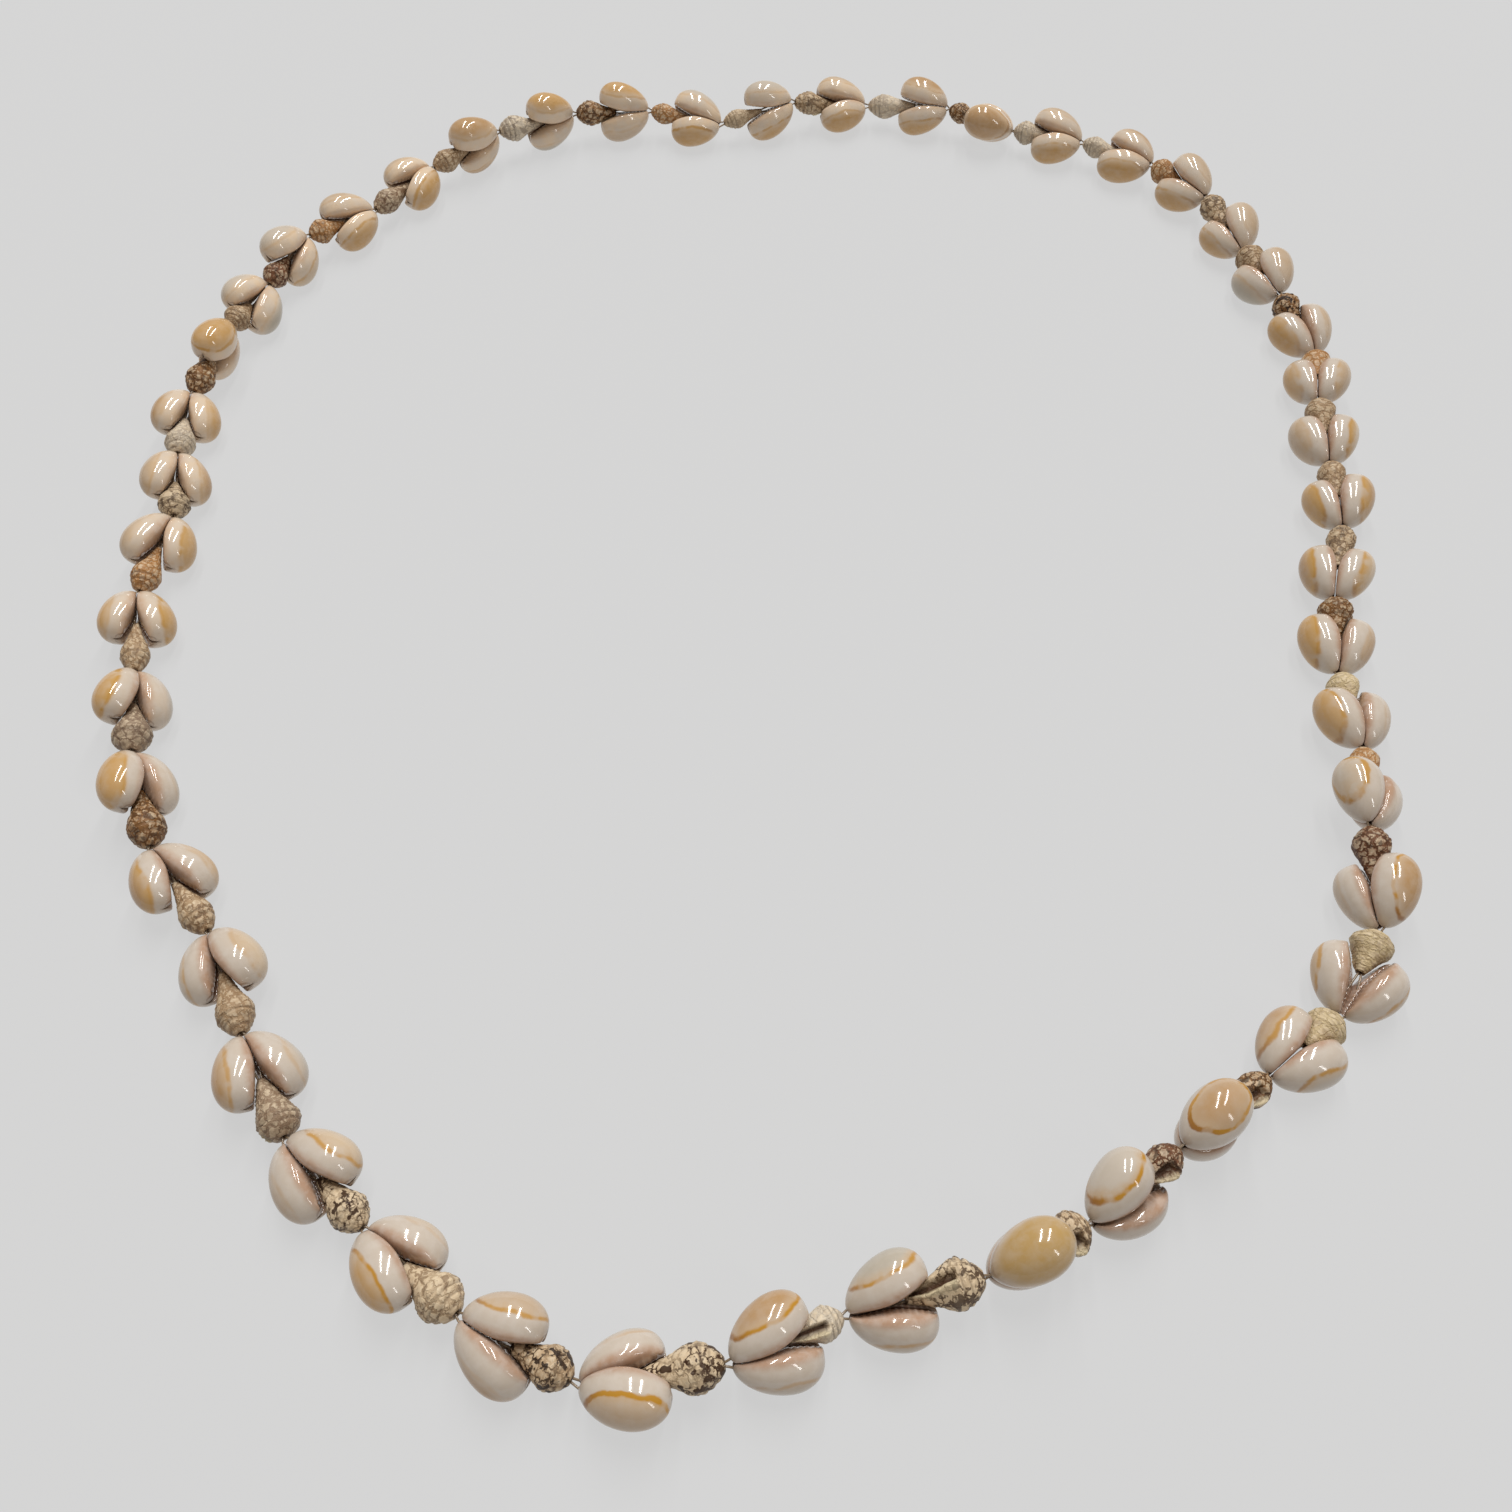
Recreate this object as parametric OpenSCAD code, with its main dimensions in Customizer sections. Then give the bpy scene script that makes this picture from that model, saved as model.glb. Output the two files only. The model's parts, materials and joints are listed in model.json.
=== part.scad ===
// Cowrie shell necklace lying in a closed loop.
// Pairs of ring cowries, base to base and drilled at the narrow end, alternate with small
// spiral shells whose narrow front end sits in the open end of the pair before it.
// X runs across the loop, Y along it, Z up from the surface it lies on.

/* [Cowries] */
// length of a middling cowrie, mm
cowrie_length = 16.5; // [14:0.5:20]
// greatest width as a share of the length
cowrie_width_share = 0.68; // [0.6:0.01:0.74]
// lift of the round axis above the flat base at the narrow end, as a share of the length
base_lift_share = 0.06; // [0.05:0.005:0.08]
// slope of the round axis against the base, degrees
back_slope = 4; // [2:0.5:6]
// angle from the string to each base, degrees
splay_angle = 11; // [9:0.5:13]
// the same for the one pair that gapes, degrees
gaping_angle = 16; // [13:0.5:18]
// how far the sizes of the cowries stray from the middling one, as a share
size_spread = 0.03; // [0:0.01:0.05]
// width of the slit along the base, mm
slit_width = 1.3; // [1:0.1:1.6]
// depth of the slit, mm
slit_depth = 1.5; // [1.2:0.1:2]

/* [Small shells] */
// greatest width of a middling small shell, mm
shell_width = 8; // [7:0.1:8.5]
// where the front end starts in the gap of the pair, as a share of the cowrie length
tuck_share = 0.64; // [0.6:0.01:0.7]
// radius of the mouth groove, mm
mouth_radius = 0.55; // [0.4:0.05:0.7]

/* [Thread] */
// width of each of the two nylon strands, mm
thread_width = 0.5; // [0.4:0.05:0.6]
// room between a strand and its hole, mm
thread_room = 0.25; // [0.2:0.05:0.3]
// room between neighbouring shells, mm
shell_room = 0.25; // [0.15:0.05:0.35]
// stretch of bare thread before each pair, mm
bare_thread = 0.8; // [0.6:0.1:1.2]
// bare thread added where the string bends, for a bend of 90 degrees, mm
bend_room = 1.6; // [1.2:0.1:2]

/* [Hidden] */
// drilled end of each pair, seen from above, mm, for cowries 16.5 mm long
route = [
  [-34, -206], [-7, -203], [14, -194], [40, -188], [60, -178], [79, -164], [100, -148], [118, -134],
  [130, -115], [133, -90], [138, -67], [138, -44], [142, -21], [150, 4], [152, 28], [154, 52],
  [159, 75], [152, 97], [146, 120], [139, 146], [125, 165], [104, 178], [82, 185], [61, 195],
  [34, 201], [9, 197], [-15, 189], [-39, 194], [-64, 191], [-88, 179], [-108, 163], [-123, 140],
  [-141, 124], [-149, 102], [-155, 80], [-161, 54], [-159, 29], [-155, 6], [-158, -20], [-152, -46],
  [-146, -71], [-136, -96], [-119, -116], [-107, -140], [-94, -162], [-76, -179], [-56, -195]
];
// middle of the loop's outline, mm
route_middle = [-1.89, -2.91];
// lean of each pair about the string, degrees: 0 stacked, 90 the upper shell inside the loop
pair_roll = [
  -70, 55, 65, -10, 35, 5, 85, 90, -50, 50, 80, 90,
  -75, -75, -80, -75, -85, -50, -55, -50, -65, -60, 60, -40,
  -60, -30, -55, -25, -5, 0, -70, -55, -35, -50, 10, -70,
  -65, -70, -75, -50, -45, -75, 80, -75, 75, -75, 70
];
// width of each small shell, as a share of the middling one
shell_share = [
  1.12, 0.79, 1.15, 1.06, 0.89, 0.85, 1.05, 1.10, 1.02, 0.85, 0.97, 1.04,
  0.90, 0.90, 1.04, 1.00, 0.99, 1.04, 0.97, 0.95, 0.81, 0.90, 0.80, 0.95,
  0.88, 0.72, 0.81, 0.95, 0.95, 0.88, 0.88, 0.86, 0.91, 0.91, 0.97, 1.01,
  1.01, 0.91, 0.84, 1.09, 1.05, 0.90, 0.96, 1.05, 0.96, 1.15, 1.02
];
gaping_pair = 7;
pair_count = len(route);
route_scale = cowrie_length / 16.5;

// cowrie outline: [distance from the narrow end, radius share], the first a share of the length
cowrie_outline = [
  [0.00, 0.00], [0.03, 0.27], [0.10, 0.50], [0.22, 0.73], [0.38, 0.91],
  [0.56, 1.00], [0.70, 0.97], [0.84, 0.79], [0.94, 0.49], [1.00, 0.00]
];
// small shell outline: [distance from the front end, radius], shares of length and width
shell_outline = [
  [0.00, 0.17], [0.10, 0.23], [0.22, 0.30], [0.34, 0.37], [0.44, 0.44], [0.54, 0.49],
  [0.62, 0.50], [0.69, 0.48], [0.71, 0.45], [0.79, 0.41], [0.81, 0.38], [0.88, 0.32],
  [0.90, 0.28], [0.96, 0.21], [1.00, 0.17]
];
bore_width = thread_width + 2 * thread_room;
bore_height = 0.05 * cowrie_length;
slit_start = 0.13 * cowrie_length;
strand_offset = thread_width / 2 + 0.1;
shell_bore = 2 * (strand_offset + thread_width / 2 + thread_room);
tuck = tuck_share * cowrie_length;
strand_sides = 6;
big = 4 * cowrie_length;
cut = 1;

cowrie_white = "#EBE2D8";
shell_tan = "#B79C7E";
thread_clear = "#DCD9D2";

function wrap(i) = (i + pair_count) % pair_count;

joints = [for (p = route) route_scale * (p - route_middle)];
steps = [for (i = [0:pair_count - 1]) joints[wrap(i + 1)] - joints[i]];

function splay(i) = i == gaping_pair ? gaping_angle : splay_angle;
// side is 1 for the upper cowrie of a pair and -1 for the lower
function cowrie_size(i, side) = 1 + size_spread * sin(137 * i + 80 * side);

// height of the joined end above the lowest point of pair i, with the string sloping by slope
function joint_height(i, slope) =
  let (string_z = sin(slope), normal_z = cos(pair_roll[i]) * cos(slope), a = splay(i))
  -min([for (side = [1, -1])
    let (
      along_z = cos(a) * string_z + side * sin(a) * normal_z,
      out_z = side * cos(a) * normal_z - sin(a) * string_z,
      axis_z = cos(back_slope) * along_z + sin(back_slope) * out_z,
      length = cowrie_length * cowrie_size(i, side)
    )
    each [for (p = cowrie_outline)
      length * (p[0] * axis_z + base_lift_share * out_z
        - p[1] * cowrie_width_share / 2 * sqrt(1 - axis_z * axis_z))]
  ]);
function slopes_for(heights) = [for (i = [0:pair_count - 1])
  atan2(heights[wrap(i + 1)] - heights[i], norm(steps[i]))];
function heights_for(slopes) = [for (i = [0:pair_count - 1]) joint_height(i, slopes[i])];

flat_heights = heights_for([for (i = [0:pair_count - 1]) 0]);
slopes = slopes_for(heights_for(slopes_for(flat_heights)));
heights = heights_for(slopes);

function joint(i) = [joints[i][0], joints[i][1], heights[i]];
function heading(i) = atan2(steps[i][1], steps[i][0]);
function string_way(i) = [
  cos(heading(i)) * cos(slopes[i]), sin(heading(i)) * cos(slopes[i]), sin(slopes[i])];
function pair_normal(i) =
  cos(pair_roll[i]) * [-cos(heading(i)) * sin(slopes[i]), -sin(heading(i)) * sin(slopes[i]),
    cos(slopes[i])]
  + sin(pair_roll[i]) * [-sin(heading(i)), cos(heading(i)), 0];

// small shell i runs from its front end in the gap of pair i to the joined end of the next pair
function shell_front(i) = joint(i) + tuck * string_way(i);
function shell_line(i) = joint(wrap(i + 1)) - shell_front(i);
// sine of the string's bend where small shell i meets the next pair
function bend(i) = norm(cross(shell_line(i), string_way(wrap(i + 1)))) / norm(shell_line(i));
function shell_length(i) = norm(shell_line(i)) - bare_thread - bend_room * bend(i);
// radius of small shell i at a share of its length, held clear of the bases it sits between
function shell_radius(i, p) =
  let (
    full = p[1] * shell_width * shell_share[i],
    along = p[0] * shell_length(i),
    reach = tuck + along,
    aside = along * abs(shell_line(i) * pair_normal(i)) / norm(shell_line(i))
  )
  reach > 1.1 * cowrie_length ? full
    : min(full, (reach * sin(splay(i)) - shell_room) / cos(splay(i)) - aside);

module cowrie(length) {
  difference() {
    translate([0, 0, base_lift_share * length])
      rotate([0, 90 - back_slope, 0])
        rotate_extrude($fn = 40)
          polygon([for (p = cowrie_outline)
            [p[1] * cowrie_width_share / 2 * length, p[0] * length]]);
    translate([-big / 2, -big / 2, -big])
      cube([big, big, big]);
    translate([slit_start, -slit_width / 2, -cut])
      cube([big, slit_width, slit_depth + cut]);
    translate([-cut, 0, bore_height])
      rotate([0, 90, 0])
        cylinder(h = slit_start + 2 * cut, d = bore_width, $fn = 24);
  }
}

module small_shell(i) {
  length = shell_length(i);
  mouth_from = [0.16 * length, shell_radius(i, [0.16, 0.26])];
  mouth_to = [0.58 * length, 0.50 * shell_width * shell_share[i]];
  mouth_line = mouth_to - mouth_from;
  difference() {
    rotate([0, 90, 0])
      rotate_extrude($fn = 40)
        polygon(concat([[0, 0]], [for (p = shell_outline) [shell_radius(i, p), p[0] * length]],
          [[0, length]]));
    translate([-cut, 0, 0])
      rotate([0, 90, 0])
        cylinder(h = length + 2 * cut, d = shell_bore, $fn = 24);
    translate([mouth_from[0], 0, mouth_from[1]])
      rotate([0, atan2(mouth_line[0], mouth_line[1]), 0])
        cylinder(h = norm(mouth_line), r = mouth_radius, $fn = 24);
  }
}

// one cowrie of every pair: side is 1 for the upper ones and -1 for the lower
module cowrie_row(side) {
  for (i = [0:pair_count - 1])
    translate(joint(i))
      rotate([-pair_roll[i], -slopes[i], heading(i)])
        rotate([side > 0 ? 0 : 180, -side * splay(i), 0])
          cowrie(cowrie_length * cowrie_size(i, side));
}

module upper_cowries() {
  color(cowrie_white)
    cowrie_row(1);
}

module lower_cowries() {
  color(cowrie_white)
    cowrie_row(-1);
}

module small_shells() {
  color(shell_tan)
    for (i = [0:pair_count - 1]) {
      line = shell_line(i);
      translate(shell_front(i))
        rotate([80 * i, -atan2(line[2], norm([line[0], line[1]])), atan2(line[1], line[0])])
          small_shell(i);
    }
}

// the strands keep apart: each takes the cowrie nearer to the side it had in the pair before
function strand_turn(i) = i == 0 ? 1
  : strand_turn(i - 1) * (pair_normal(i) * pair_normal(i - 1) < 0 ? -1 : 1);
// points of one strand through one cowrie of pair i and the small shell behind it
function strand_stops(i, side) =
  let (
    t = string_way(i), n = side * strand_turn(i) * pair_normal(i), a = splay(i),
    along = cos(a) * t + sin(a) * n, out = cos(a) * n - sin(a) * t,
    w = shell_line(i) / norm(shell_line(i)),
    m = (n - (n * w) * w) / norm(n - (n * w) * w)
  )
  [
    joint(i) + bore_height * out + 0.1 * along,
    joint(i) + bore_height * out + (slit_start + 0.5) * along,
    shell_front(i) + strand_offset * m - 0.3 * w,
    shell_front(i) + strand_offset * m + shell_length(i) * w
  ];
module strand(side) {
  stops = [for (i = [0:pair_count - 1]) each strand_stops(i, side)];
  count = len(stops);
  ring = [for (k = [0:count - 1])
    let (
      way = stops[(k + 1) % count] - stops[(k + count - 1) % count],
      across = cross(way, [0, 0, 1]), c = across / norm(across),
      up = cross(c, way), u = up / norm(up)
    )
    each [for (s = [0:strand_sides - 1])
      let (turn = 360 * s / strand_sides)
      stops[k] + thread_width / 2 * (cos(turn) * c + sin(turn) * u)]];
  faces = [for (k = [0:count - 1], s = [0:strand_sides - 1])
    let (k2 = (k + 1) % count, s2 = (s + 1) % strand_sides)
    [k * strand_sides + s, k * strand_sides + s2, k2 * strand_sides + s2, k2 * strand_sides + s]];
  polyhedron(points = ring, faces = faces, convexity = 10);
}

module thread() {
  color(thread_clear)
    for (side = [1, -1])
      strand(side);
}

upper_cowries();
lower_cowries();
small_shells();
thread();
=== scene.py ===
import json
from functools import partial
from math import atan2, cos, exp, pi, radians, sin, sqrt

import bpy
import numpy as np
from mathutils import Matrix, Vector, noise

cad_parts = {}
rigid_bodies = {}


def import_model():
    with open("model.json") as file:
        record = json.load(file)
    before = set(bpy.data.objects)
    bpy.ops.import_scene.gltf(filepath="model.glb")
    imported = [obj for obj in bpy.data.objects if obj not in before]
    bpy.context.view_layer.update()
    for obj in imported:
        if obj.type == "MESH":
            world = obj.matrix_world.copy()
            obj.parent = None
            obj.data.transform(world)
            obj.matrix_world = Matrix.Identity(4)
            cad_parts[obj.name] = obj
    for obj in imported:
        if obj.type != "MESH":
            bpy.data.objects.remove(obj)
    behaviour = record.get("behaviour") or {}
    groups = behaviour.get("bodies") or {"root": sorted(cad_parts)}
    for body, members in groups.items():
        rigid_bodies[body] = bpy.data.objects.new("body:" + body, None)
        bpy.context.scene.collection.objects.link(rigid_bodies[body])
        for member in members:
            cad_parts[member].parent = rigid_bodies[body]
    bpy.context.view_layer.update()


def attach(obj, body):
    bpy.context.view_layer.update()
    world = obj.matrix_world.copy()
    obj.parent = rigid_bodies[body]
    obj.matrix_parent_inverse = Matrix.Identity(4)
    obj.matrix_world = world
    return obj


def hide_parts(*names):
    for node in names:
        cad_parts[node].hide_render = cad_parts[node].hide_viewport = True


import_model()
mm = 0.001


def hexColour(text):
    # sRGB hex to linear RGBA
    parts = [int(text[k:k + 2], 16) / 255 for k in (1, 3, 5)]
    return [p / 12.92 if p <= 0.04045 else ((p + 0.055) / 1.055) ** 2.4 for p in parts] + [1.0]

def addNode(tree, kind, inputs=(), **settings):
    # inputs go by name or in order; each is a value, a socket, or a node for its first live output
    node = tree.nodes.new(kind)
    for name, value in settings.items():
        setattr(node, name, value)
    for key, value in inputs.items() if isinstance(inputs, dict) else enumerate(inputs):
        if isinstance(value, bpy.types.Node):
            value = next(one for one in value.outputs if one.enabled)
        if isinstance(value, bpy.types.NodeSocket):
            tree.links.new(value, node.inputs[key])
        else:
            node.inputs[key].default_value = value
    return node


def smoothCurve(points, at):
    # cubic curve through (x, y) points, read at each x in at
    xs, ys = np.array(points, float).T
    slope = np.gradient(ys, xs)
    k = np.clip(np.searchsorted(xs, at, side="right") - 1, 0, len(xs) - 2)
    gap = xs[k + 1] - xs[k]
    t = np.clip((at - xs[k]) / gap, 0, 1)
    return ((2 * t ** 3 - 3 * t ** 2 + 1) * ys[k] + (t ** 3 - 2 * t ** 2 + t) * gap * slope[k]
            + (3 * t ** 2 - 2 * t ** 3) * ys[k + 1] + (t ** 3 - t ** 2) * gap * slope[k + 1])


def ramp(low, high, value):
    t = np.clip((value - low) / (high - low), 0, 1)
    return t * t * (3 - 2 * t)


def meshFromRows(name, rows, firstPole, lastPole):
    # closed skin over rows of points, each row a ring, with a pole at either end
    count, around = rows.shape[:2]
    points = np.vstack([[firstPole], rows.reshape(-1, 3), [lastPole]])
    last = len(points) - 1
    faces = []
    for c in range(around):
        d = (c + 1) % around
        faces.append((0, 1 + d, 1 + c))
        for r in range(count - 1):
            a, b = 1 + r * around, 1 + (r + 1) * around
            faces.append((a + c, a + d, b + d, b + c))
        faces.append((1 + (count - 1) * around + c, 1 + (count - 1) * around + d, last))
    mesh = bpy.data.meshes.new(name)
    mesh.from_pydata(points.tolist(), [], faces)
    volume = sum(np.dot(points[f[0]], np.cross(points[f[k]], points[f[k + 1]]))
                 for f in faces for k in range(1, len(f) - 1))
    if volume < 0:
        mesh.flip_normals()
    mesh.shade_smooth()
    return mesh


def setAttribute(mesh, name, kind, values):
    layer = mesh.attributes.new(name, kind, "POINT")
    field = {"FLOAT": "value", "INT": "value", "FLOAT_VECTOR": "vector", "FLOAT_COLOR": "color"}[kind]
    layer.data.foreach_set(field, np.array(values, dtype=int if kind == "INT" else float).ravel())


string = {
    "route": [  # drilled end of each pair, seen from above, mm
        (-34, -206), (-7, -203), (14, -194), (40, -188), (60, -178), (79, -164), (100, -148), (118, -134),
        (130, -115), (133, -90), (138, -67), (138, -44), (142, -21), (150, 4), (152, 28), (154, 52),
        (159, 75), (152, 97), (146, 120), (139, 146), (125, 165), (104, 178), (82, 185), (61, 195),
        (34, 201), (9, 197), (-15, 189), (-39, 194), (-64, 191), (-88, 179), (-108, 163), (-123, 140),
        (-141, 124), (-149, 102), (-155, 80), (-161, 54), (-159, 29), (-155, 6), (-158, -20), (-152, -46),
        (-146, -71), (-136, -96), (-119, -116), (-107, -140), (-94, -162), (-76, -179), (-56, -195)],
    "routeMiddle": (-1.89, -2.91),
    "lean": [  # of each pair about the string, degrees: 90 has the upper shell inside the loop
        -70, 55, 65, -10, 35, 5, 85, 90, -50, 50, 80, 90,
        -75, -75, -80, -75, -85, -50, -55, -50, -65, -60, 60, -40,
        -60, -30, -55, -25, -5, 0, -70, -55, -35, -50, 10, -70,
        -65, -70, -75, -50, -45, -75, 80, -75, 75, -75, 70],
    "cowrieLength": 16.5,  # mm
    "widthShare": 0.68,    # shares of the cowrie length
    "baseLift": 0.06,
    "backSlope": radians(4),
    "splay": radians(11),
    "gapingSplay": radians(16),
    "gapingPair": 7,
    "sizeSpread": 0.03, "sizeTurns": (137, 80),  # share, and degrees by pair and by side
    "tuckShare": 0.64,  # place of a small shell's front end, as a share of the cowrie length
    "shellWidth": 8.0,  # mm
    "shellShare": [  # width of each small shell against the middling one
        1.12, 0.79, 1.15, 1.06, 0.89, 0.85, 1.05, 1.10, 1.02, 0.85, 0.97, 1.04,
        0.90, 0.90, 1.04, 1.00, 0.99, 1.04, 0.97, 0.95, 0.81, 0.90, 0.80, 0.95,
        0.88, 0.72, 0.81, 0.95, 0.95, 0.88, 0.88, 0.86, 0.91, 0.91, 0.97, 1.01,
        1.01, 0.91, 0.84, 1.09, 1.05, 0.90, 0.96, 1.05, 0.96, 1.15, 1.02],
    "bareThread": 0.8,  # mm before each pair
    "bendRoom": 1.6,    # mm more for a bend of 90 degrees
    # underside of a cowrie as a share of its half width, along its length
    "lowOutline": [(0, 0), (0.03, 0.27), (0.10, 0.50), (0.22, 0.73), (0.38, 0.91), (0.56, 1.00),
                   (0.70, 0.97), (0.84, 0.79), (0.94, 0.49), (1, 0)],
}
pairCount = len(string["route"])


def splayOf(i):
    return string["gapingSplay"] if i == string["gapingPair"] else string["splay"]


def cowrieSize(i, side):
    byPair, bySide = string["sizeTurns"]
    return 1 + string["sizeSpread"] * sin(radians(byPair * i + bySide * side))


def jointHeight(i, slope):
    # height of the joined end above the lowest point of the pair
    alongZ, normalZ, a = sin(slope), cos(radians(string["lean"][i])) * cos(slope), splayOf(i)
    lowest = 0
    for side in (1, -1):
        wayZ = cos(a) * alongZ + side * sin(a) * normalZ
        outZ = side * cos(a) * normalZ - sin(a) * alongZ
        axisZ = cos(string["backSlope"]) * wayZ + sin(string["backSlope"]) * outZ
        for x, r in string["lowOutline"]:
            low = x * axisZ + string["baseLift"] * outZ - r * string["widthShare"] / 2 * sqrt(1 - axisZ ** 2)
            lowest = min(lowest, string["cowrieLength"] * cowrieSize(i, side) * low)
    return -lowest


joints = np.array(string["route"], float) - string["routeMiddle"]
steps = np.roll(joints, -1, axis=0) - joints
slopes = np.zeros(pairCount)  # slopes and heights follow from each other, so they are found in turns
for turn in range(3):
    heights = np.array([jointHeight(i, slopes[i]) for i in range(pairCount)])
    if turn < 2:
        slopes = np.arctan2(np.roll(heights, -1) - heights, np.linalg.norm(steps, axis=1))

pairs = []
for i in range(pairCount):
    heading, slope, lean = atan2(steps[i][1], steps[i][0]), slopes[i], radians(string["lean"][i])
    way = Vector((cos(heading) * cos(slope), sin(heading) * cos(slope), sin(slope)))
    up = Vector((-cos(heading) * sin(slope), -sin(heading) * sin(slope), cos(slope)))
    normal = cos(lean) * up + sin(lean) * Vector((-sin(heading), cos(heading), 0))
    joint = Vector((*joints[i], heights[i]))
    pairs.append({"joint": joint, "way": way, "normal": normal,
                  "front": joint + string["tuckShare"] * string["cowrieLength"] * way})
for i, pair in enumerate(pairs):
    ahead = pairs[(i + 1) % pairCount]
    line = ahead["joint"] - pair["front"]
    bend = line.cross(ahead["way"]).length / line.length
    pair["lineWay"] = line.normalized()
    pair["shellLength"] = line.length - string["bareThread"] - string["bendRoom"] * bend
    pair["shellWidth"] = string["shellWidth"] * string["shellShare"][i]
print("string laid out:", pairCount, "pairs")


def geometryTree(name, sockets, result):
    tree = bpy.data.node_groups.new(name, "GeometryNodeTree")
    for label, kind in sockets.items():
        tree.interface.new_socket(label, in_out="INPUT", socket_type="NodeSocket" + kind)
    tree.interface.new_socket(result, in_out="OUTPUT", socket_type="NodeSocketGeometry")
    return tree, addNode(tree, "NodeGroupInput").outputs


def strungShellsTree():
    # one master shell on each point, scaled and turned by the point's own values
    tree, given = geometryTree("strungShells", {
        "Points": "Geometry", "Masters": "Collection", "Unit length": "Float",
        "Material": "Material"}, "Shells")
    masters = addNode(tree, "GeometryNodeCollectionInfo", {
        "Collection": given["Masters"], "Separate Children": True, "Reset Children": True})
    own = {}
    for name, kind in (("turn", "FLOAT_VECTOR"), ("spread", "FLOAT_VECTOR"), ("kind", "INT")):
        own[name] = addNode(tree, "GeometryNodeInputNamedAttribute", {"Name": name}, data_type=kind)
    turned = addNode(tree, "FunctionNodeEulerToRotation", {"Euler": own["turn"]})
    scaled = addNode(tree, "ShaderNodeVectorMath", {0: own["spread"], "Scale": given["Unit length"]},
                     operation="SCALE")
    placed = addNode(tree, "GeometryNodeInstanceOnPoints", {
        "Points": given["Points"], "Instance": masters, "Pick Instance": True,
        "Instance Index": own["kind"], "Rotation": turned, "Scale": scaled})
    real = addNode(tree, "GeometryNodeRealizeInstances", {"Geometry": placed})
    worn = addNode(tree, "GeometryNodeSetMaterial", {"Geometry": real, "Material": given["Material"]})
    addNode(tree, "NodeGroupOutput", {"Shells": worn})
    return tree


def finishPiece(name, source, tree, values, dropped=()):
    # runs the tree once and keeps its result as a plain mesh
    modifier = source.modifiers.new("nodes", "NODES")
    modifier.node_group = tree
    for item in tree.interface.items_tree:
        if item.item_type == "SOCKET" and item.in_out == "INPUT" and item.name in values:
            modifier[item.identifier] = values[item.name]
    bpy.context.view_layer.update()
    result = source.evaluated_get(bpy.context.evaluated_depsgraph_get())
    mesh = bpy.data.meshes.new_from_object(result)
    source.modifiers.remove(modifier)
    bpy.data.objects.remove(source)
    mesh.name = name
    for layer in dropped:
        if layer in mesh.attributes:
            mesh.attributes.remove(mesh.attributes[layer])
    piece = bpy.data.objects.new(name, mesh)
    bpy.context.scene.collection.objects.link(piece)
    return piece


def pointObject(name, points, edges=()):
    mesh = bpy.data.meshes.new(name)
    mesh.from_pydata([tuple(p) for p in points], list(edges), [])
    thing = bpy.data.objects.new(name, mesh)
    bpy.context.scene.collection.objects.link(thing)
    return thing


def mastersCollection(name, meshes):
    group = bpy.data.collections.new(name)
    for k, mesh in enumerate(meshes):
        group.objects.link(bpy.data.objects.new(f"{name}{k}", mesh))
    return group


def dropCollection(group):
    for thing in list(group.objects):
        bpy.data.objects.remove(thing)
    bpy.data.collections.remove(group)


def eulerOf(x, z):
    # turn that puts the local X and Z axes on these directions
    y = z.cross(x)
    return Matrix((x, y, z)).transposed().to_euler()


strungShells = strungShellsTree()

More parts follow.
